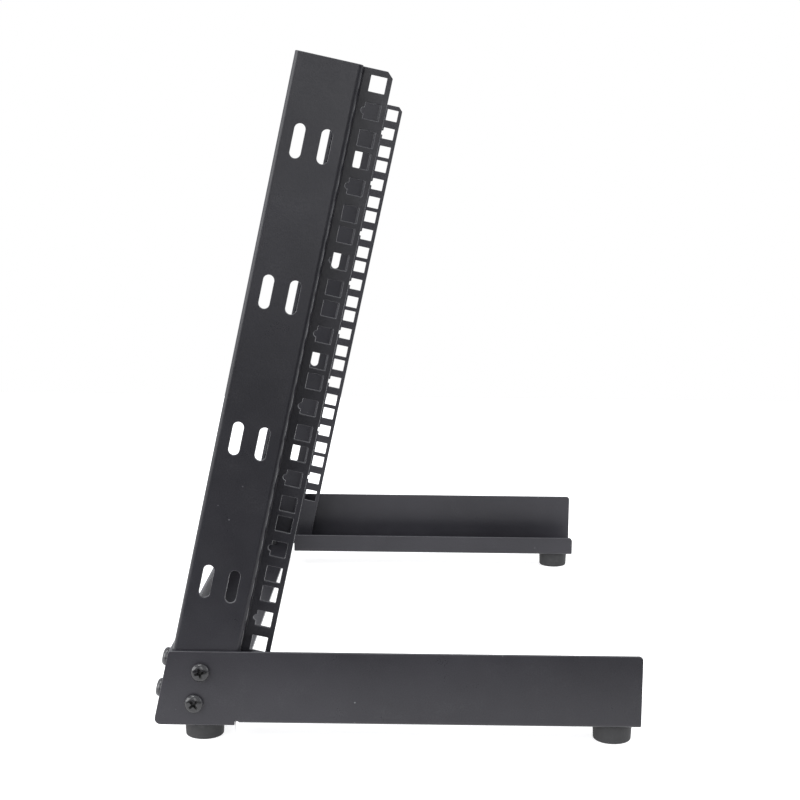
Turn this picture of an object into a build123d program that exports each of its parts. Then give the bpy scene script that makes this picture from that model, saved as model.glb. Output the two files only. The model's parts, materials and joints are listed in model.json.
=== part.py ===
from build123d import *
import math
import os

# Tilted two-post desktop rack, eight rack units high.
# X runs across the rack, -Y is the front, +Z is up.
# The origin is on the floor, in the middle of the footprint.

# ---- driving dimensions, mm ----
U = 44.45                  # one rack unit
UNITS = 8
LEAN = 11.8                # posts lean back from vertical, degrees
T = 2.0                    # sheet thickness
BEND = 1.8                 # bend radius at mid thickness

FOOT_H = 13.1              # rubber foot height
FOOT_R_TOP = 12.2
FOOT_R_BOT = 11.7
FOOT_EDGE = 1.3            # rounded lower edge of the foot
FOOT_X = 224.3             # foot centre from the middle
FRONT_FOOT_Y = -119.2
REAR_FOOT_Y = 132.8

REF_Y = -62.55             # front face of the post at the top of the top rack unit
REF_Z = 411.5

WEB_X = 241.3              # outer face of the post
WEB_D = 40.0               # depth of the post's side web
TRIM_X = 229.6             # outer face of the post's inner flange
TRIM_END = 57.7            # rear edge of the inner flange, from the post's front face
OPENING_X = 225.0          # half of the opening between the front flanges
HOLE_X = 232.55            # half of the 465.1 mm hole-to-hole width
POST_TOP = 2.1             # post above the top rack unit
POST_FOOT_GAP = 1.0        # post end above the floor flange

SQ = 9.5                   # square hole
SQ_R = 0.4
SIDE_HOLE_D = 49.85         # side holes from the post's front face
NOTCH_R = 1.9              # half-moon mark on each unit's middle hole

SLOT_L = 20.2
SLOT_W = 6.55
SLOT_D = (11.85, 27.85)    # slot columns from the post's front face
SLOT_V0 = 47.8             # first row below the top of the top rack unit
SLOT_ROWS = 4
SLOT_PITCH = 2 * U

LEG_H = 45.0
LEG_REAR = 148.18          # rear end of the leg
LEG_W = 38.0               # width of the leg's floor flange
LIP_H = 15.0               # inner lip of the leg
LEG_FRONT_D = -2.15        # front edge of the leg's wall, from the post's front face
LEG_DROP = 1.1             # flat front end of the leg's wall below the floor flange
RELIEF_Y = -98.14          # start of the bent part of the leg
RELIEF_W = 2.2
RELIEF_H = 1.3

BAR_FLANGE_REAR = -103.84  # rear edge of the front bar's floor flange

SIDE_SCREW = ((19.4, -370.0), (19.5, -390.0))
FRONT_SCREW_V = (-368.2, -388.2)
M6_HOLE_R = 3.25
M6_R = 3.0
HEAD_R = 5.75
HEAD_H = 3.9
SCREW_L = 12.0
NUT_AF = 10.0
NUT_H = 5.0
M5_HOLE_R = 2.7
M5_R = 2.5
FOOT_HEAD_R = 4.75
FOOT_HEAD_H = 3.4
FOOT_RECESS_R = 6.0
FOOT_RECESS_H = 7.5
FOOT_NUT_AF = 8.0
FOOT_NUT_H = 4.0

os.makedirs("parts", exist_ok=True)

# ---- directions ----
sn = math.sin(math.radians(LEAN))
cs = math.cos(math.radians(LEAN))
UP = (0, sn, cs)           # along the post
BACK = (0, cs, -sn)        # square to the post, towards the rear


def spot(x, d, v):
    """Point at x, d behind the post's front face and v above the top rack unit's top."""
    return (x, REF_Y + d * cs + v * sn, REF_Z - d * sn + v * cs)


def height_v(z, d):
    """Distance along the post to the level z at depth d."""
    return (z - REF_Z + d * sn) / cs


def front_plane(d):
    """Plane square to the post's depth: x across, y along the post, facing the front."""
    return Plane(origin=spot(0, d, 0), x_dir=(1, 0, 0), z_dir=(0, -cs, sn))


def side_plane(x):
    """Side plane: x towards the rear square to the post, y along the post, facing +X."""
    return Plane(origin=spot(x, 0, 0), x_dir=BACK, z_dir=(1, 0, 0))


def level_side_plane(x):
    """Upright side plane: x towards the rear, y up, facing +X."""
    return Plane(origin=(x, 0, 0), x_dir=(0, 1, 0), z_dir=(1, 0, 0))


# centres of the rack holes along the post, from the top rack unit's top
HOLES = [-(U * k + e) for k in range(UNITS) for e in (6.35, 22.225, 38.1)]
MIDDLE = [-(U * k + 22.225) for k in range(UNITS)]
FLOOR = FOOT_H             # underside of the floor flanges

# ---- post: front flange, side web, step inward, inner flange ----
top_plane = Plane(origin=spot(0, 0, POST_TOP), x_dir=(1, 0, 0), z_dir=UP)
post_len = POST_TOP + U * UNITS + 80

with BuildPart() as right_post:
    with BuildSketch(top_plane):
        with BuildLine() as post_line:
            FilletPolyline(
                (OPENING_X, T / 2),
                (WEB_X - T / 2, T / 2),
                (WEB_X - T / 2, WEB_D - T / 2),
                (TRIM_X - T / 2, WEB_D - T / 2),
                (TRIM_X - T / 2, TRIM_END),
                radius=BEND,
            )
        trace(line_width=T)
    extrude(amount=-post_len)
    # level cut at the foot
    split(bisect_by=Plane.XY.offset(FLOOR + T + POST_FOOT_GAP), keep=Keep.TOP)
    # clipped upper rear corner of the inner flange
    corner = (
        right_post.edges()
        .filter_by(Axis.X)
        .sort_by_distance(spot(TRIM_X - T / 2, TRIM_END, POST_TOP))[0]
    )
    chamfer(corner, 3.4)
    # square rack holes in the front flange
    with BuildSketch(front_plane(0)):
        with Locations(*[(HOLE_X, v) for v in HOLES]):
            RectangleRounded(SQ, SQ, SQ_R)
    extrude(amount=-(T + 1), mode=Mode.SUBTRACT)
    # the same square holes in the inner flange, the middle ones with a half-moon mark
    with BuildSketch(side_plane(TRIM_X + 1)):
        with Locations(*[(SIDE_HOLE_D, v) for v in HOLES]):
            RectangleRounded(SQ, SQ, SQ_R)
        with Locations(*[(SIDE_HOLE_D - SQ / 2, v) for v in MIDDLE]):
            Circle(NOTCH_R)
    extrude(amount=-(T + 2), mode=Mode.SUBTRACT)
    # slots and screw holes in the side web
    with BuildSketch(side_plane(WEB_X + 1)):
        with Locations(*[(d, -(SLOT_V0 + SLOT_PITCH * r)) for d in SLOT_D for r in range(SLOT_ROWS)]):
            SlotOverall(SLOT_L, SLOT_W, rotation=90)
        with Locations(*SIDE_SCREW):
            Circle(M6_HOLE_R)
    extrude(amount=-(T + 2), mode=Mode.SUBTRACT)
    # screw holes in the front flange's foot
    with BuildSketch(front_plane(0)):
        with Locations(*[(HOLE_X, v) for v in FRONT_SCREW_V]):
            Circle(M6_HOLE_R)
    extrude(amount=-(T + 1), mode=Mode.SUBTRACT)

right_post.part.label = "right_post"
export_step(right_post.part, "parts/right_post.step")

with BuildPart() as left_post:
    mirror(right_post.part, about=Plane.YZ)
left_post.part.label = "left_post"
export_step(left_post.part, "parts/left_post.step")

# ---- leg: high outer wall, floor flange, low inner lip ----
LEG_X = WEB_X + T          # outer face of the leg
leg_len = LEG_REAR - RELIEF_Y
leg_plane = Plane(origin=(0, LEG_REAR, 0), x_dir=(1, 0, 0), z_dir=(0, -1, 0))
v_bot = height_v(FLOOR - LEG_DROP, LEG_FRONT_D)
v_top = height_v(FLOOR + LEG_H, LEG_FRONT_D)
front_bot = spot(0, LEG_FRONT_D, v_bot)
front_top = spot(0, LEG_FRONT_D, v_top)

with BuildPart() as right_leg:
    with BuildSketch(leg_plane):
        with BuildLine():
            FilletPolyline(
                (LEG_X - T / 2, FLOOR + LEG_H),
                (LEG_X - T / 2, FLOOR + T / 2),
                (LEG_X - LEG_W + T / 2, FLOOR + T / 2),
                (LEG_X - LEG_W + T / 2, FLOOR + LIP_H),
                radius=BEND,
            )
        trace(line_width=T)
    extrude(amount=leg_len)
    # flat front end of the wall, cut to the lean of the post
    with BuildSketch(level_side_plane(WEB_X)):
        with BuildLine():
            Polyline(
                (front_bot[1], front_bot[2]),
                (RELIEF_Y, FLOOR - LEG_DROP),
                (RELIEF_Y, FLOOR + LEG_H),
                (front_top[1], front_top[2]),
                close=True,
            )
        make_face()
    extrude(amount=T)
    # relief notch where the bend starts
    with BuildSketch(level_side_plane(LEG_X + 1)):
        with Locations((RELIEF_Y + 0.5, FLOOR + RELIEF_H / 2 - 1)):
            RectangleRounded(RELIEF_W, RELIEF_H + 2, 0.6)
    extrude(amount=-(T + BEND + 2), mode=Mode.SUBTRACT)
    # rounded corners, seen from the side
    fillet(right_leg.edges().filter_by(Axis.X).sort_by_distance((LEG_X, front_top[1], front_top[2]))[0], 2.0)
    fillet(right_leg.edges().filter_by(Axis.X).sort_by_distance((LEG_X, front_bot[1], front_bot[2]))[0], 3.6)
    fillet(right_leg.edges().filter_by(Axis.X).sort_by_distance((LEG_X, LEG_REAR, FLOOR + LEG_H))[0], 2.6)
    fillet(right_leg.edges().filter_by(Axis.X).sort_by_distance((LEG_X - LEG_W, LEG_REAR, FLOOR + LIP_H))[0], 3.0)
    fillet(right_leg.edges().filter_by(Axis.X).sort_by_distance((LEG_X - LEG_W, RELIEF_Y, FLOOR + LIP_H))[0], 3.0)
    # screw holes to the post
    with BuildSketch(side_plane(LEG_X + 1)):
        with Locations(*SIDE_SCREW):
            Circle(M6_HOLE_R)
    extrude(amount=-(T + 2), mode=Mode.SUBTRACT)
    # foot screw hole
    with BuildSketch(Plane.XY.offset(FLOOR - 1)):
        with Locations((FOOT_X, REAR_FOOT_Y)):
            Circle(M5_HOLE_R)
    extrude(amount=T + 2, mode=Mode.SUBTRACT)

right_leg.part.label = "right_leg"
export_step(right_leg.part, "parts/right_leg.step")

with BuildPart() as left_leg:
    mirror(right_leg.part, about=Plane.YZ)
left_leg.part.label = "left_leg"
export_step(left_leg.part, "parts/left_leg.step")

# ---- front bar: plate across the posts, floor flange below it ----
bar_mid_bot = spot(0, -T / 2, height_v(FLOOR + T / 2, -T / 2))
bar_mid_top = spot(0, -T / 2, height_v(FLOOR + LEG_H + 2, -T / 2))

with BuildPart() as front_bar:
    with BuildSketch(level_side_plane(-WEB_X)):
        with BuildLine():
            FilletPolyline(
                (bar_mid_top[1], bar_mid_top[2]),
                (bar_mid_bot[1], bar_mid_bot[2]),
                (BAR_FLANGE_REAR, FLOOR + T / 2),
                radius=BEND,
            )
        trace(line_width=T)
    extrude(amount=2 * WEB_X)
    # top edge at the height of the legs
    split(bisect_by=Plane.XY.offset(FLOOR + LEG_H), keep=Keep.BOTTOM)
    with BuildSketch(front_plane(-T - 1)):
        with Locations(*[(x, v) for x in (-HOLE_X, HOLE_X) for v in FRONT_SCREW_V]):
            Circle(M6_HOLE_R)
    extrude(amount=-(T + 2), mode=Mode.SUBTRACT)
    with BuildSketch(Plane.XY.offset(FLOOR - 1)):
        with Locations((-FOOT_X, FRONT_FOOT_Y), (FOOT_X, FRONT_FOOT_Y)):
            Circle(M5_HOLE_R)
    extrude(amount=T + 2, mode=Mode.SUBTRACT)

front_bar.part.label = "front_bar"
export_step(front_bar.part, "parts/front_bar.step")

# ---- rubber feet with their screws and nuts ----
FEET = {
    "front_left": (-FOOT_X, FRONT_FOOT_Y),
    "front_right": (FOOT_X, FRONT_FOOT_Y),
    "rear_left": (-FOOT_X, REAR_FOOT_Y),
    "rear_right": (FOOT_X, REAR_FOOT_Y),
}
for place, (fx, fy) in FEET.items():
    with BuildPart() as foot:
        with BuildSketch(Plane(origin=(fx, fy, 0), x_dir=(1, 0, 0), z_dir=(0, -1, 0))):
            with BuildLine():
                Polyline(
                    (M5_HOLE_R, FOOT_RECESS_H),
                    (FOOT_RECESS_R, FOOT_RECESS_H),
                    (FOOT_RECESS_R, 0),
                    (FOOT_R_BOT - FOOT_EDGE, 0),
                )
                RadiusArc((FOOT_R_BOT - FOOT_EDGE, 0), (FOOT_R_BOT, FOOT_EDGE), -FOOT_EDGE)
                Polyline(
                    (FOOT_R_BOT, FOOT_EDGE),
                    (FOOT_R_TOP, FOOT_H),
                    (M5_HOLE_R, FOOT_H),
                    (M5_HOLE_R, FOOT_RECESS_H),
                )
            make_face()
        revolve(axis=Axis((fx, fy, 0), (0, 0, 1)))
    foot.part.label = place + "_foot"
    export_step(foot.part, "parts/" + place + "_foot.step")

    with BuildPart() as foot_screw:
        with BuildSketch(Plane(origin=(fx, fy, FOOT_RECESS_H), x_dir=(1, 0, 0), z_dir=(0, 0, -1))):
            Circle(FOOT_HEAD_R)
        extrude(amount=FOOT_HEAD_H)
        fillet(foot_screw.edges().group_by(Axis.Z)[0], 1.6)
        with BuildSketch(Plane(origin=(fx, fy, FOOT_RECESS_H), x_dir=(1, 0, 0), z_dir=(0, 0, 1))):
            Circle(M5_R)
        extrude(amount=FOOT_H - FOOT_RECESS_H + T + FOOT_NUT_H + 1.0)
    foot_screw.part.label = place + "_foot_screw"
    export_step(foot_screw.part, "parts/" + place + "_foot_screw.step")

    with BuildPart() as foot_nut:
        with BuildSketch(Plane(origin=(fx, fy, FLOOR + T), x_dir=(1, 0, 0), z_dir=(0, 0, 1))):
            RegularPolygon(FOOT_NUT_AF / 2, 6, major_radius=False)
            Circle(M5_R, mode=Mode.SUBTRACT)
        extrude(amount=FOOT_NUT_H)
    foot_nut.part.label = place + "_foot_nut"
    export_step(foot_nut.part, "parts/" + place + "_foot_nut.step")


# ---- pan-head screws and nuts that join post, leg and bar ----
def screw_and_nut(screw_name, nut_name, head_plane, grip):
    """Head on the plane facing outward; the nut bears on the far side of the grip."""
    with BuildPart() as screw:
        with BuildSketch(head_plane):
            Circle(HEAD_R)
        extrude(amount=HEAD_H)
        fillet(screw.faces().sort_by_distance(head_plane.origin + head_plane.z_dir * HEAD_H)[0].edges(), 2.0)
        with BuildSketch(head_plane):
            Circle(M6_R)
        extrude(amount=-SCREW_L)
    screw.part.label = screw_name
    export_step(screw.part, "parts/" + screw_name + ".step")
    with BuildPart() as nut:
        with BuildSketch(head_plane.offset(-grip)):
            RegularPolygon(NUT_AF / 2, 6, major_radius=False)
            Circle(M6_R, mode=Mode.SUBTRACT)
        extrude(amount=-NUT_H)
    nut.part.label = nut_name
    export_step(nut.part, "parts/" + nut_name + ".step")


for side, sx in (("left", -1), ("right", 1)):
    for level, (d, v) in zip(("upper", "lower"), SIDE_SCREW):
        head = Plane(origin=spot(sx * LEG_X, d, v), x_dir=BACK, z_dir=(sx, 0, 0))
        screw_and_nut(f"{side}_side_screw_{level}", f"{side}_side_nut_{level}", head, 2 * T)
    for level, v in zip(("upper", "lower"), FRONT_SCREW_V):
        head = Plane(origin=spot(sx * HOLE_X, -T, v), x_dir=(1, 0, 0), z_dir=(0, -cs, sn))
        screw_and_nut(f"{side}_front_screw_{level}", f"{side}_front_nut_{level}", head, 2 * T)
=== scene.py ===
import json
import math
import bpy
import bmesh
from mathutils import Matrix, Vector


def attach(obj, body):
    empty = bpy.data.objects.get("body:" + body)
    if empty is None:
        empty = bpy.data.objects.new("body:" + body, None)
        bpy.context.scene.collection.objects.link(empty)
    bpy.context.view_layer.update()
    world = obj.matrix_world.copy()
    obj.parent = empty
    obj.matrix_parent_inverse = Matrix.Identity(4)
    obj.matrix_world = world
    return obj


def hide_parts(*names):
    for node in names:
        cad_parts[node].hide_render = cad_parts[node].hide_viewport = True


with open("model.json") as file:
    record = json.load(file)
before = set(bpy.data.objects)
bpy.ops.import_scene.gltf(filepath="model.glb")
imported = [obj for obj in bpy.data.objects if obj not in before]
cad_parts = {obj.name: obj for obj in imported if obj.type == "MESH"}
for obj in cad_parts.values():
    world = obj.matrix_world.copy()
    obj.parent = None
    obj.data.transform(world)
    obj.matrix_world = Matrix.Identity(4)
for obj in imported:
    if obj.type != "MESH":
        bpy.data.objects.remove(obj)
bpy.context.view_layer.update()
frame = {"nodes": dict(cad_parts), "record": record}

NODES = frame["nodes"]
SCENE = bpy.context.scene

# ------------------------------------------------------------------ the rack's own directions
LEAN = math.radians(11.8)
SN, CS = math.sin(LEAN), math.cos(LEAN)
REF_Y, REF_Z = -0.06255, 0.4115
UP = Vector((0, SN, CS))
BACK = Vector((0, CS, -SN))


def spot(x, d, v):
    """Point at x, d behind the post's front face and v above the top unit's top, all in mm."""
    return Vector((x, REF_Y * 1000 + d * CS + v * SN, REF_Z * 1000 - d * SN + v * CS)) / 1000


# ------------------------------------------------------------------ small node helpers
class Tree:
    def __init__(self, name):
        self.mat = bpy.data.materials.new(name)
        self.mat.use_nodes = True
        self.nt = self.mat.node_tree
        self.nt.nodes.clear()
        self.out = self.nt.nodes.new("ShaderNodeOutputMaterial")
        self.bsdf = self.nt.nodes.new("ShaderNodeBsdfPrincipled")
        self.link(self.bsdf.outputs["BSDF"], self.out.inputs["Surface"])
        self.coord = self.nt.nodes.new("ShaderNodeTexCoord").outputs["Object"]

    def link(self, a, b):
        self.nt.links.new(a, b)

    def put(self, value, socket):
        if isinstance(value, bpy.types.NodeSocket):
            self.link(value, socket)
        else:
            socket.default_value = value

    def noise(self, scale, detail=2.0, rough=0.5, distort=0.0, vector=None):
        n = self.nt.nodes.new("ShaderNodeTexNoise")
        n.inputs["Scale"].default_value = scale
        n.inputs["Detail"].default_value = detail
        n.inputs["Roughness"].default_value = rough
        n.inputs["Distortion"].default_value = distort
        self.link(vector or self.coord, n.inputs["Vector"])
        return n.outputs["Fac"]

    def cells(self, scale, feature="F1", vector=None, smooth=None, randomness=1.0):
        n = self.nt.nodes.new("ShaderNodeTexVoronoi")
        n.feature = feature
        n.inputs["Scale"].default_value = scale
        n.inputs["Randomness"].default_value = randomness
        if smooth is not None and "Smoothness" in n.inputs:
            n.inputs["Smoothness"].default_value = smooth
        self.link(vector or self.coord, n.inputs["Vector"])
        return n.outputs["Distance"]

    def ramp(self, fac, stops):
        n = self.nt.nodes.new("ShaderNodeValToRGB")
        while len(n.color_ramp.elements) < len(stops):
            n.color_ramp.elements.new(0.5)
        for e, (p, c) in zip(n.color_ramp.elements, stops):
            e.position = p
            e.color = (c, c, c, 1) if not isinstance(c, (tuple, list)) else (*c, 1)
        self.link(fac, n.inputs["Fac"])
        return n.outputs["Color"]

    def range(self, v, a, b, lo, hi):
        n = self.nt.nodes.new("ShaderNodeMapRange")
        n.clamp = True
        for k, x in zip(("From Min", "From Max", "To Min", "To Max"), (a, b, lo, hi)):
            n.inputs[k].default_value = x
        self.link(v, n.inputs["Value"])
        return n.outputs["Result"]

    def math(self, op, a, b=0.0, clamp=False):
        n = self.nt.nodes.new("ShaderNodeMath")
        n.operation = op
        n.use_clamp = clamp
        self.put(a, n.inputs[0])
        self.put(b, n.inputs[1])
        return n.outputs["Value"]

    def mix(self, fac, a, b):
        n = self.nt.nodes.new("ShaderNodeMix")
        n.data_type = "RGBA"
        self.put(fac, n.inputs["Factor"])
        for v, s in ((a, n.inputs[6]), (b, n.inputs[7])):
            if isinstance(v, (tuple, list)) and len(v) == 3:
                v = (*v, 1)
            self.put(v, s)
        return n.outputs[2]

    def attr(self, name):
        n = self.nt.nodes.new("ShaderNodeAttribute")
        n.attribute_type = "GEOMETRY"
        n.attribute_name = name
        return n.outputs["Fac"]

    def bump(self, height, strength, distance, normal=None):
        n = self.nt.nodes.new("ShaderNodeBump")
        n.inputs["Strength"].default_value = strength
        n.inputs["Distance"].default_value = distance
        self.link(height, n.inputs["Height"])
        if normal:
            self.link(normal, n.inputs["Normal"])
        return n.outputs["Normal"]


def powder_coat(name, tint=(0.0149, 0.0146, 0.0175), rough=0.33):
    """Satin black powder coat: orange peel, fine grain, faint cloudiness and dust, thinner and paler on the edges,
    partly a painted highlight.
    """
    t = Tree(name)
    cloud = t.noise(11.0, 3.0, 0.55)
    streak = t.noise(48.0, 4.0, 0.6, 0.4)
    grain = t.noise(1500.0, 2.0, 0.55)
    peel = t.noise(380.0, 2.5, 0.5)
    speck = t.cells(900.0, "F1")
    edge = t.attr("edge")
    dark = tuple(c * 0.80 for c in tint)
    pale = tuple(c * 1.25 + 0.001 for c in tint)
    base = t.mix(t.range(cloud, 0.3, 0.7, 0.0, 1.0), dark, pale)
    base = t.mix(t.math("MULTIPLY", t.range(grain, 0.35, 0.7, 0.0, 1.0), 0.35), base, tuple(c * 1.9 + 0.003 for c in tint))
    # dust caught in the texture
    dust = t.math("MULTIPLY", t.range(streak, 0.50, 0.80, 0.0, 1.0), t.range(speck, 0.35, 0.75, 0.0, 1.0))
    base = t.mix(t.math("MULTIPLY", dust, 0.10), base, (0.08, 0.08, 0.085))
    # a few stray specks of lint
    few = t.math("MULTIPLY", t.range(t.cells(95.0, "F1"), 0.055, 0.025, 0.0, 1.0), t.range(t.noise(7.0, 1.0, 0.5), 0.60, 0.64, 0.0, 1.0))
    base = t.mix(t.math("MULTIPLY", few, 0.7), base, (0.16, 0.16, 0.17))
    # the coat pulls thin on edges; the paler edges also stand in for the thin highlight lines on the rounded edges:
    # partly real wear, partly painted highlight
    pale_edge = t.math("MULTIPLY", edge, t.range(t.noise(260.0, 3.0, 0.6), 0.30, 0.65, 0.40, 1.0))
    base = t.mix(t.math("MULTIPLY", pale_edge, 0.45), base, (0.085, 0.086, 0.092))
    t.link(base, t.bsdf.inputs["Base Color"])
    r = t.range(t.noise(60.0, 3.0, 0.55), 0.3, 0.7, rough - 0.04, rough + 0.05)
    r = t.math("ADD", r, t.range(grain, 0.3, 0.7, -0.03, 0.03))
    r = t.math("SUBTRACT", r, t.math("MULTIPLY", pale_edge, 0.08))
    t.link(r, t.bsdf.inputs["Roughness"])
    n1 = t.bump(peel, 0.45, 0.00010)
    n2 = t.bump(grain, 0.50, 0.00004, n1)
    n3 = t.bump(speck, 0.25, 0.00003, n2)
    t.link(n3, t.bsdf.inputs["Normal"])
    t.bsdf.inputs["Specular IOR Level"].default_value = 0.285
    t.bsdf.inputs["IOR"].default_value = 1.5
    return t.mat


def rubber(name):
    """Matt moulded rubber with a fine spark-eroded texture and a little dust."""
    t = Tree(name)
    fine = t.noise(2200.0, 2.0, 0.6)
    cloud = t.noise(90.0, 3.0, 0.5)
    scuff = t.noise(320.0, 4.0, 0.65, 0.8)
    base = t.mix(t.range(cloud, 0.3, 0.7, 0.0, 1.0), (0.018, 0.018, 0.019), (0.027, 0.027, 0.028))
    base = t.mix(t.math("MULTIPLY", t.range(scuff, 0.52, 0.78, 0.0, 1.0), 0.35), base, (0.052, 0.052, 0.053))
    t.link(base, t.bsdf.inputs["Base Color"])
    t.link(t.range(cloud, 0.3, 0.7, 0.66, 0.80), t.bsdf.inputs["Roughness"])
    n = t.bump(scuff, 0.25, 0.0001)
    t.link(t.bump(fine, 0.55, 0.00006, n), t.bsdf.inputs["Normal"])
    t.bsdf.inputs["Specular IOR Level"].default_value = 0.38
    return t.mat


def black_screw(name, rough=0.17):
    """Black-coated steel: satin, fine turning marks, rubbed brighter on the edges, with painted shade in the cross
    recess.
    """
    t = Tree(name)
    cloud = t.noise(380.0, 3.0, 0.55)
    fine = t.noise(3200.0, 2.0, 0.5)
    edge = t.attr("edge")
    base = t.mix(t.range(cloud, 0.3, 0.7, 0.0, 1.0), (0.006, 0.006, 0.007), (0.014, 0.014, 0.015))
    pale_edge = t.math("MULTIPLY", edge, t.range(t.noise(900.0, 3.0, 0.6), 0.35, 0.65, 0.3, 1.0))
    base = t.mix(t.math("MULTIPLY", pale_edge, 0.55), base, (0.085, 0.085, 0.090))
    # painted shade: the faces of the cross recess are darkened and roughened
    recess_shade = t.attr("recess_shade")
    base = t.mix(recess_shade, base, (0.004, 0.004, 0.004))
    t.link(base, t.bsdf.inputs["Base Color"])
    r = t.range(cloud, 0.3, 0.7, rough - 0.03, rough + 0.05)
    t.link(t.math("ADD", r, t.math("MULTIPLY", recess_shade, 0.45)), t.bsdf.inputs["Roughness"])
    t.link(t.bump(fine, 0.35, 0.00003), t.bsdf.inputs["Normal"])
    t.bsdf.inputs["Specular IOR Level"].default_value = 0.50
    return t.mat


# the leg and bar coats are copies of the post coat with a slightly different tint, tuned to the tone each part shows
# under these lamps: lit and shaded copies of one coat, painted light
COATS = {
    "post": powder_coat("coat_post"),
    "leg": powder_coat("coat_leg", tint=(0.0151, 0.0146, 0.0177)),
    "bar": powder_coat("coat_bar", tint=(0.0151, 0.0146, 0.0177)),
}
RUBBER = rubber("foot_rubber")
SCREW = black_screw("screw_black")
NUT = black_screw("nut_black", 0.40)

for node, obj in NODES.items():
    slot = next((s["material_slot"] for s in frame["record"]["subparts"] if s["node"] == node), "post")
    mat = COATS.get(slot) or (RUBBER if slot == "foot_rubber" else SCREW if slot == "screw" else NUT)
    obj.data.materials.clear()
    obj.data.materials.append(mat)


# ------------------------------------------------------------------ meshes
def finish_mesh(bm, name, mat, replaced, smooth_angle=35.0):
    me = bpy.data.meshes.new(name)
    bm.normal_update()
    bm.to_mesh(me)
    bm.free()
    me.materials.append(mat)
    obj = bpy.data.objects.new(name, me)
    SCENE.collection.objects.link(obj)
    for p in me.polygons:
        p.use_smooth = True
    me.set_sharp_from_angle(angle=math.radians(smooth_angle))
    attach(obj, "root")
    if replaced:
        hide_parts(*replaced)
    return obj


def sheet(node, name, mat, radius=0.00038):
    """The bent sheet of a CAD node with its cut edges rounded by the coat."""
    bm = bmesh.new()
    bm.from_mesh(NODES[node].data)
    bmesh.ops.remove_doubles(bm, verts=bm.verts, dist=2e-6)
    bmesh.ops.dissolve_limit(bm, angle_limit=math.radians(0.3), verts=bm.verts, edges=bm.edges,
                             use_dissolve_boundaries=False)
    bmesh.ops.recalc_face_normals(bm, faces=bm.faces)
    hard = [e for e in bm.edges if len(e.link_faces) == 2 and e.calc_face_angle(0.0) > math.radians(50)]
    layer = bm.faces.layers.float.new("edge")
    done = bmesh.ops.bevel(bm, geom=hard, offset=radius, offset_type="OFFSET", segments=3, profile=0.5,
                           affect="EDGES", clamp_overlap=False, loop_slide=False, miter_outer="SHARP")
    for f in done["faces"]:
        f[layer] = 1.0
    bmesh.ops.remove_doubles(bm, verts=bm.verts, dist=1e-6)
    obj = finish_mesh(bm, name, mat, [node], 40.0)
    mod = obj.modifiers.new("flat_normals", "WEIGHTED_NORMAL")
    mod.keep_sharp = True
    mod.weight = 80
    return obj


sheet("left_post", "left_post_sheet", COATS["post"])
sheet("right_post", "right_post_sheet", COATS["post"])
sheet("left_leg", "left_leg_sheet", COATS["leg"])
sheet("right_leg", "right_leg_sheet", COATS["leg"])
sheet("front_bar", "front_bar_sheet", COATS["bar"])


def frame_at(origin, out, toward=Vector((0, 0, 1)), turn=0.0):
    """Matrix with local +Z along out, local +X near toward turned about out, at origin."""
    z = out.normalized()
    x = (toward - toward.dot(z) * z).normalized()
    m = Matrix((x, z.cross(x), z)).transposed().to_4x4()
    m.translation = origin
    return m @ Matrix.Rotation(turn, 4, "Z")


def lathe(bm, profile, steps, edge_rings=(), layer=None):
    """Closed surface of revolution about Z from (radius, height) points in mm; a zero radius makes a pole."""
    rings = []
    for r, z in profile:
        if r < 1e-6:
            rings.append([bm.verts.new((0, 0, z / 1000))])
        else:
            rings.append([bm.verts.new((r / 1000 * math.cos(a), r / 1000 * math.sin(a), z / 1000))
                          for a in (2 * math.pi * i / steps for i in range(steps))])
    for k in range(len(rings) - 1):
        a, b = rings[k], rings[k + 1]
        for i in range(steps):
            j = (i + 1) % steps
            if len(a) == 1:
                f = bm.faces.new((a[0], b[j], b[i]))
            elif len(b) == 1:
                f = bm.faces.new((a[i], a[j], b[0]))
            else:
                f = bm.faces.new((a[i], a[j], b[j], b[i]))
            if layer is not None and k in edge_rings:
                f[layer] = 1.0
    return rings


def close_ring(bm, rings):
    """Joins the last ring to the first, for a profile that is a closed loop."""
    a, b = rings[-1], rings[0]
    n = len(a)
    for i in range(n):
        j = (i + 1) % n
        bm.faces.new((a[i], a[j], b[j], b[i]))


def cross_cutter(size):
    """Tapered four-armed recess: arms narrow and shorten towards a blunt tip."""
    bm = bmesh.new()
    k = size / 1000
    top, mid, tip = 0.004 * 1.0, -1.15 * k, -2.35 * k
    half = [(3.25 * k, 0.62 * k, top), (3.05 * k, 0.56 * k, 0.0), (2.05 * k, 0.50 * k, mid), (0.95 * k, 0.42 * k, tip)]
    inner = [1.20 * k, 1.10 * k, 0.85 * k, 0.55 * k]
    loops = []
    for (l, w, z), c in zip(half, inner):
        ring = []
        for q in range(4):
            a = q * math.pi / 2
            ca, sa = math.cos(a), math.sin(a)
            for x, y in ((l, -w), (l, w)):
                ring.append((x * ca - y * sa, x * sa + y * ca))
            b = a + math.pi / 4
            ring.append((c * math.cos(b) * 1.0, c * math.sin(b) * 1.0))
        loops.append([bm.verts.new((x, y, z)) for x, y in ring])
    n = len(loops[0])
    for a, b in zip(loops, loops[1:]):
        for i in range(n):
            j = (i + 1) % n
            bm.faces.new((a[i], b[i], b[j], a[j]))
    bm.faces.new(loops[0])
    bm.faces.new(list(reversed(loops[-1])))
    bmesh.ops.recalc_face_normals(bm, faces=bm.faces)
    me = bpy.data.meshes.new("cutter")
    bm.to_mesh(me)
    bm.free()
    return me


def baked(obj):
    """The object's mesh with its modifiers applied."""
    bpy.context.view_layer.update()
    dg = bpy.context.evaluated_depsgraph_get()
    return bpy.data.meshes.new_from_object(obj.evaluated_get(dg))


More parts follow.
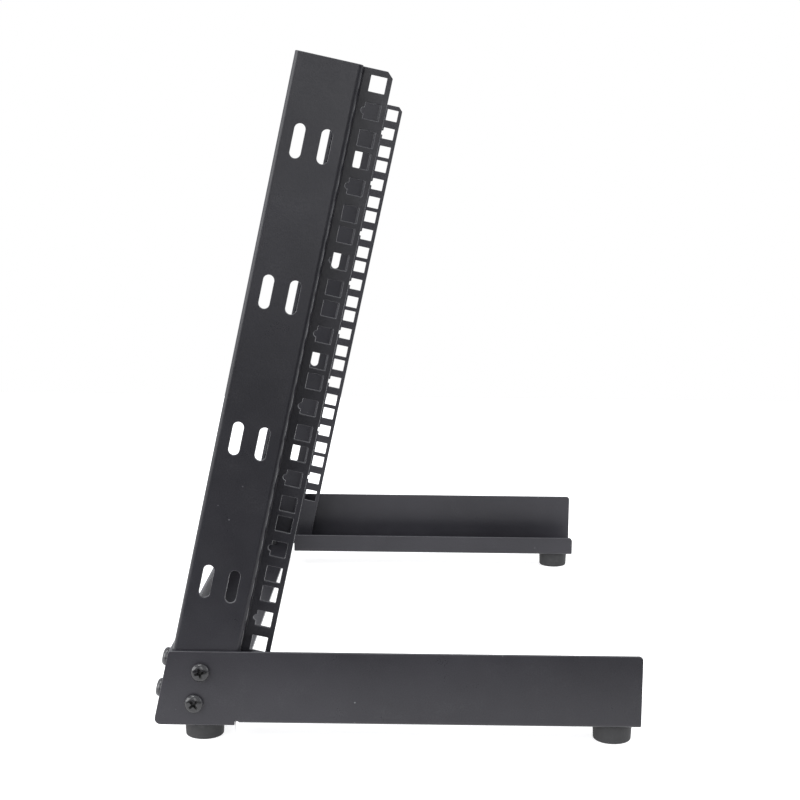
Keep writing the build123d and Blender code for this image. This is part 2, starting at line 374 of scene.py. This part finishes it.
def screw_mesh(name, head_r, head_h, shank_r, length, pitch, recess):
    """Pan head with a cross recess on +Z, threaded shank on -Z; the head bears at z = 0."""
    bm = bmesh.new()
    layer = bm.faces.layers.float.new("edge")
    r, h = head_r, head_h
    minor = shank_r * 0.83
    head = [(minor, 0), (r * 0.965, 0), (r * 0.992, h * 0.02), (r, h * 0.07), (r, h * 0.34), (r * 0.992, h * 0.45),
            (r * 0.968, h * 0.56), (r * 0.925, h * 0.67), (r * 0.86, h * 0.77), (r * 0.77, h * 0.86),
            (r * 0.65, h * 0.92), (r * 0.50, h * 0.96), (r * 0.32, h * 0.985), (r * 0.14, h * 0.997), (0, h)]
    rings = lathe(bm, head, 72, (1, 2, 4, 5, 6), layer)
    # thread: a radius that follows the helix, run out to the minor radius at both ends
    steps, per = 72, 8
    rows = int(length / pitch * per)
    prev = rings[0]
    for k in range(1, rows + 1):
        z = -length * k / rows
        run = min(1.0, k / (per * 1.2), (rows - k) / (per * 0.9))
        ring = []
        for i in range(steps):
            a = 2 * math.pi * i / steps
            ph = (z / pitch - i / steps) % 1.0
            tri = 1 - abs(2 * ph - 1)
            rad = minor + (shank_r - minor) * min(1.0, max(0.0, tri * 1.25 - 0.12)) * run
            ring.append(bm.verts.new((rad / 1000 * math.cos(a), rad / 1000 * math.sin(a), z / 1000)))
        for i in range(steps):
            j = (i + 1) % steps
            bm.faces.new((prev[i], ring[i], ring[j], prev[j]))
        prev = ring
    bm.faces.new(list(reversed(prev)))
    bmesh.ops.recalc_face_normals(bm, faces=bm.faces)
    me = bpy.data.meshes.new(name)
    bm.to_mesh(me)
    bm.free()
    body = bpy.data.objects.new(name + "_body", me)
    tool = bpy.data.objects.new(name + "_tool", cross_cutter(recess))
    tool.location = (0, 0, head_h / 1000)
    SCENE.collection.objects.link(body)
    SCENE.collection.objects.link(tool)
    mod = body.modifiers.new("recess", "BOOLEAN")
    mod.operation, mod.object, mod.solver = "DIFFERENCE", tool, "EXACT"
    out = baked(body)
    out.name = name
    for o in (body, tool):
        bpy.data.objects.remove(o)
    bm = bmesh.new()
    bm.from_mesh(out)
    bmesh.ops.remove_doubles(bm, verts=bm.verts, dist=5e-7)
    # faces inside the recess carry recess_shade = 1, a painted shade that darkens the cross recess
    recess_shade = bm.faces.layers.float.new("recess_shade")
    for f in bm.faces:
        c = f.calc_center_median() * 1000
        q = math.hypot(c.x, c.y)
        if 0.3 < c.z and q < 4.2 * recess:
            top = next((z1 + (z0 - z1) * (r1 - q) / (r1 - r0) if r1 != r0 else z1
                        for (r1, z1), (r0, z0) in zip(head[4:], head[5:]) if r0 <= q <= r1), head_h)
            if c.z < top - 0.10:
                f[recess_shade] = 1.0
    bm.to_mesh(out)
    bm.free()
    for p in out.polygons:
        p.use_smooth = True
    out.set_sharp_from_angle(angle=math.radians(32))
    return out


def nut_mesh(name, flats, height, bore):
    """Hexagon nut with both faces chamfered, bearing at z = 0 and standing up +Z."""
    bm = bmesh.new()
    layer = bm.faces.layers.float.new("edge")
    steps = 96
    inner = flats / 2 * 0.95

    def hex_r(a):
        m = (a + math.pi / 6) % (math.pi / 3) - math.pi / 6
        return flats / 2 / math.cos(m)

    def ring(rad, z):
        return [bm.verts.new((rad(a) / 1000 * math.cos(a), rad(a) / 1000 * math.sin(a), z(a) / 1000))
                for a in (2 * math.pi * i / steps for i in range(steps))]

    drop = lambda a: max(0.0, (hex_r(a) - inner)) * math.tan(math.radians(30))
    rings = [
        ring(lambda a: bore, lambda a: 0.45),
        ring(lambda a: bore * 1.08, lambda a: 0.0),
        ring(lambda a: inner, lambda a: 0.0),
        ring(hex_r, drop),
        ring(hex_r, lambda a: height - drop(a)),
        ring(lambda a: inner, lambda a: height),
        ring(lambda a: bore * 1.08, lambda a: height),
        ring(lambda a: bore, lambda a: height - 0.45),
    ]
    for k in range(len(rings)):
        a, b = rings[k], rings[(k + 1) % len(rings)]
        for i in range(steps):
            j = (i + 1) % steps
            f = bm.faces.new((a[i], a[j], b[j], b[i]))
            if k in (2, 4):
                f[layer] = 0.6
    bmesh.ops.recalc_face_normals(bm, faces=bm.faces)
    me = bpy.data.meshes.new(name)
    bm.to_mesh(me)
    bm.free()
    for p in me.polygons:
        p.use_smooth = True
    me.set_sharp_from_angle(angle=math.radians(20))
    return me


def place(me, name, matrix, mat, node):
    own = me.copy()
    own.name = name
    own.materials.clear()
    own.materials.append(mat)
    own.transform(matrix)
    obj = bpy.data.objects.new(name, own)
    SCENE.collection.objects.link(obj)
    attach(obj, "root")
    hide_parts(node)
    return obj


POST_SCREW = screw_mesh("post_screw", 5.7, 3.85, 2.98, 11.9, 1.0, 1.17)
FOOT_SCREW = screw_mesh("foot_screw", 4.7, 3.35, 2.48, 11.9, 0.8, 0.86)
POST_NUT = nut_mesh("post_nut", 10.0, 5.0, 3.0)
FOOT_NUT = nut_mesh("foot_nut", 8.0, 4.0, 2.5)

T = 2.0
LEG_X, HOLE_X = 243.3, 232.55
SIDE = {"upper": (19.4, -370.0), "lower": (19.5, -390.0)}
FRONT = {"upper": -368.2, "lower": -388.2}
TURN = {("side", "upper"): 26, ("side", "lower"): 54, ("front", "upper"): 33, ("front", "lower"): 8}
for side, sx in (("left", -1), ("right", 1)):
    for level in ("upper", "lower"):
        d, v = SIDE[level]
        out = Vector((sx, 0, 0))
        a = math.radians(TURN["side", level] + (0 if sx > 0 else 27))
        place(POST_SCREW, f"{side}_side_screw_{level}_head", frame_at(spot(sx * LEG_X, d, v), out, UP, a),
              SCREW, f"{side}_side_screw_{level}")
        place(POST_NUT, f"{side}_side_nut_{level}_hex", frame_at(spot(sx * (LEG_X - 2 * T), d, v), -out, BACK, 0.0),
              NUT, f"{side}_side_nut_{level}")
        v = FRONT[level]
        out = -BACK
        a = math.radians(TURN["front", level] + (0 if sx > 0 else 19))
        place(POST_SCREW, f"{side}_front_screw_{level}_head", frame_at(spot(sx * HOLE_X, -T, v), out, UP, a),
              SCREW, f"{side}_front_screw_{level}")
        place(POST_NUT, f"{side}_front_nut_{level}_hex", frame_at(spot(sx * HOLE_X, T, v), -out, Vector((1, 0, 0)), 0.0),
              NUT, f"{side}_front_nut_{level}")


def foot_mesh(name):
    """Moulded rubber foot: slight taper, rounded lower edge, recess for the screw from below."""
    bm = bmesh.new()
    layer = bm.faces.layers.float.new("edge")
    top, bot, h, e = 12.2, 11.7, 13.1, 1.3
    prof = [(2.75, 7.5), (5.55, 7.5), (5.8, 7.42), (5.93, 7.3), (6.0, 7.0), (6.0, 0.45), (6.06, 0.22), (6.22, 0.06), (6.45, 0.0)]
    for i in range(9):
        a = math.pi / 2 * i / 8
        prof.append((bot - e + e * math.sin(a), e - e * math.cos(a)))
    prof += [(bot + (top - bot) * 0.35, 5.2), (bot + (top - bot) * 0.7, 8.6), (top, 12.6), (top - 0.06, 12.85), (top - 0.22, 13.02),
             (top - 0.45, 13.1), (2.75, 13.1)]
    rings = lathe(bm, prof, 120, (10, 11, 12, 13), layer)
    close_ring(bm, rings)
    bmesh.ops.recalc_face_normals(bm, faces=bm.faces)
    me = bpy.data.meshes.new(name)
    bm.to_mesh(me)
    bm.free()
    for p in me.polygons:
        p.use_smooth = True
    me.set_sharp_from_angle(angle=math.radians(40))
    return me


FOOT = foot_mesh("foot")
for place_name, fx, fy in (("front_left", -224.3, -119.2), ("front_right", 224.3, -119.2),
                           ("rear_left", -224.3, 132.8), ("rear_right", 224.3, 132.8)):
    turn = math.radians({"front_left": 20, "front_right": 47, "rear_left": 71, "rear_right": 5}[place_name])
    at = Vector((fx, fy, 0)) / 1000
    z, x = Vector((0, 0, 1)), Vector((1, 0, 0))
    place(FOOT, place_name + "_foot_rubber", frame_at(at, z, x), RUBBER, place_name + "_foot")
    place(FOOT_SCREW, place_name + "_foot_screw_head", frame_at(at + z * 0.0075, -z, x, turn), SCREW,
          place_name + "_foot_screw")
    place(FOOT_NUT, place_name + "_foot_nut_hex", frame_at(at + z * 0.0151, z, x, turn), NUT, place_name + "_foot_nut")
for me in (POST_SCREW, FOOT_SCREW, POST_NUT, FOOT_NUT, FOOT):
    bpy.data.meshes.remove(me)


# ------------------------------------------------------------------ studio
def camera():
    yaw, pitch, roll = (math.radians(a) for a in (0.2188, 8.6630, 0.6366))
    fwd = Vector((-math.cos(yaw) * math.cos(pitch), -math.sin(yaw) * math.cos(pitch), -math.sin(pitch)))
    right = fwd.cross(Vector((0, 0, 1))).normalized()
    up = right.cross(fwd)
    r = math.cos(roll) * right + math.sin(roll) * up
    u = -math.sin(roll) * right + math.cos(roll) * up
    data = bpy.data.cameras.new("camera")
    data.sensor_width = 36.0
    data.lens = 1580.933 / 800 * 36.0
    data.shift_x = -(412.657 - 400) / 800
    data.shift_y = (419.419 - 400) / 800
    data.clip_start, data.clip_end = 0.05, 200.0
    cam = bpy.data.objects.new("camera", data)
    m = Matrix((r, u, -fwd)).transposed().to_4x4()
    m.translation = Vector((1.163909, 0.010911, 0.341529))
    cam.matrix_world = m
    SCENE.collection.objects.link(cam)
    SCENE.camera = cam


def softbox(name, at, to, size, watts, spread=180):
    data = bpy.data.lights.new(name, "AREA")
    data.shape = "RECTANGLE"
    data.size, data.size_y = size
    data.energy = watts
    data.spread = math.radians(spread)
    obj = bpy.data.objects.new(name, data)
    at, to = Vector(at), Vector(to)
    obj.matrix_world = Matrix.Translation(at) @ (to - at).to_track_quat("-Z", "Y").to_matrix().to_4x4()
    SCENE.collection.objects.link(obj)


def studio():
    # white table top under the rack, lit from above and slightly from within
    bm = bmesh.new()
    x0, x1, y0, y1 = TABLE
    f = bm.faces.new([bm.verts.new((x, y, 0)) for x, y in ((x0, y0), (x1, y0), (x1, y1), (x0, y1))])
    me = bpy.data.meshes.new("floor")
    bm.to_mesh(me)
    bm.free()
    floor = bpy.data.objects.new("floor", me)
    SCENE.collection.objects.link(floor)
    t = Tree("floor_white")
    shade = t.ramp(t.noise(2.0, 2.0, 0.5), [(0.0, 0.60), (1.0, 0.62)])
    t.link(shade, t.bsdf.inputs["Base Color"])
    t.bsdf.inputs["Roughness"].default_value = 0.9
    t.bsdf.inputs["Specular IOR Level"].default_value = 0.1
    t.bsdf.inputs["Emission Color"].default_value = (1, 1, 1, 1)
    t.bsdf.inputs["Emission Strength"].default_value = GLOW
    me.materials.append(t.mat)
    world = bpy.data.worlds.new("studio")
    world.use_nodes = True
    nt = world.node_tree
    nt.nodes.clear()
    out = nt.nodes.new("ShaderNodeOutputWorld")
    mix = nt.nodes.new("ShaderNodeMixShader")
    room = nt.nodes.new("ShaderNodeBackground")
    seen = nt.nodes.new("ShaderNodeBackground")
    path = nt.nodes.new("ShaderNodeLightPath")
    where = nt.nodes.new("ShaderNodeTexCoord")
    split = nt.nodes.new("ShaderNodeSeparateXYZ")
    level = nt.nodes.new("ShaderNodeMapRange")
    nt.links.new(where.outputs["Generated"], split.inputs[0])
    nt.links.new(split.outputs["Z"], level.inputs["Value"])
    level.inputs["From Min"].default_value = -0.06
    level.inputs["From Max"].default_value = 0.10
    level.inputs["To Min"].default_value = ROOM_LOW
    level.inputs["To Max"].default_value = ROOM_HIGH
    behind = nt.nodes.new("ShaderNodeMapRange")
    behind.label = "behind"
    behind.interpolation_type = "SMOOTHSTEP"
    nt.links.new(split.outputs["X"], behind.inputs["Value"])
    behind.inputs["From Min"].default_value = 0.0
    behind.inputs["From Max"].default_value = -0.5
    behind.inputs["To Min"].default_value = 0.0
    behind.inputs["To Max"].default_value = 1.0
    blend = nt.nodes.new("ShaderNodeMix")
    blend.label = "blend"
    nt.links.new(behind.outputs["Result"], blend.inputs[0])
    nt.links.new(level.outputs["Result"], blend.inputs[2])
    blend.inputs[3].default_value = BACKDROP
    nt.links.new(blend.outputs[0], room.inputs["Strength"])
    room.inputs["Color"].default_value = (0.95, 0.96, 1.0, 1)
    seen.inputs["Color"].default_value = (1.0, 1.0, 1.0, 1)
    seen.inputs["Strength"].default_value = 1.0
    nt.links.new(path.outputs["Is Camera Ray"], mix.inputs["Fac"])
    nt.links.new(room.outputs["Background"], mix.inputs[1])
    nt.links.new(seen.outputs["Background"], mix.inputs[2])
    nt.links.new(mix.outputs["Shader"], out.inputs["Surface"])
    SCENE.world = world
    SCENE.view_settings.view_transform = "Standard"
    SCENE.view_settings.look = "None"
    SCENE.view_settings.exposure = 0.0
    for name, at, to, size, watts, spread in LIGHTS:
        softbox(name, at, to, size, watts, spread)


TABLE = (-1.3, 0.38, -2.2, 2.2)
GLOW = 0.78
ROOM_LOW, ROOM_HIGH, BACKDROP = 0.0, 1.42, 1.10
LIGHTS = [
    ("left", (1.2, -2.2, 0.9), (0, 0, 0.1), (2.6, 1.6), 60, 180),
    ("right", (0.15, 2.2, 0.9), (0, 0, 0.1), (1.2, 1.0), 9, 180),
    ("strip", (2.6, 0.0, 1.0), (0, 0, 0.4), (0.5, 2.0), 9, 180),
    ("hair", (0.55, -0.40, 1.9), (0.2, 0, 0.1), (0.5, 1.2), 14, 180),
]
camera()
studio()
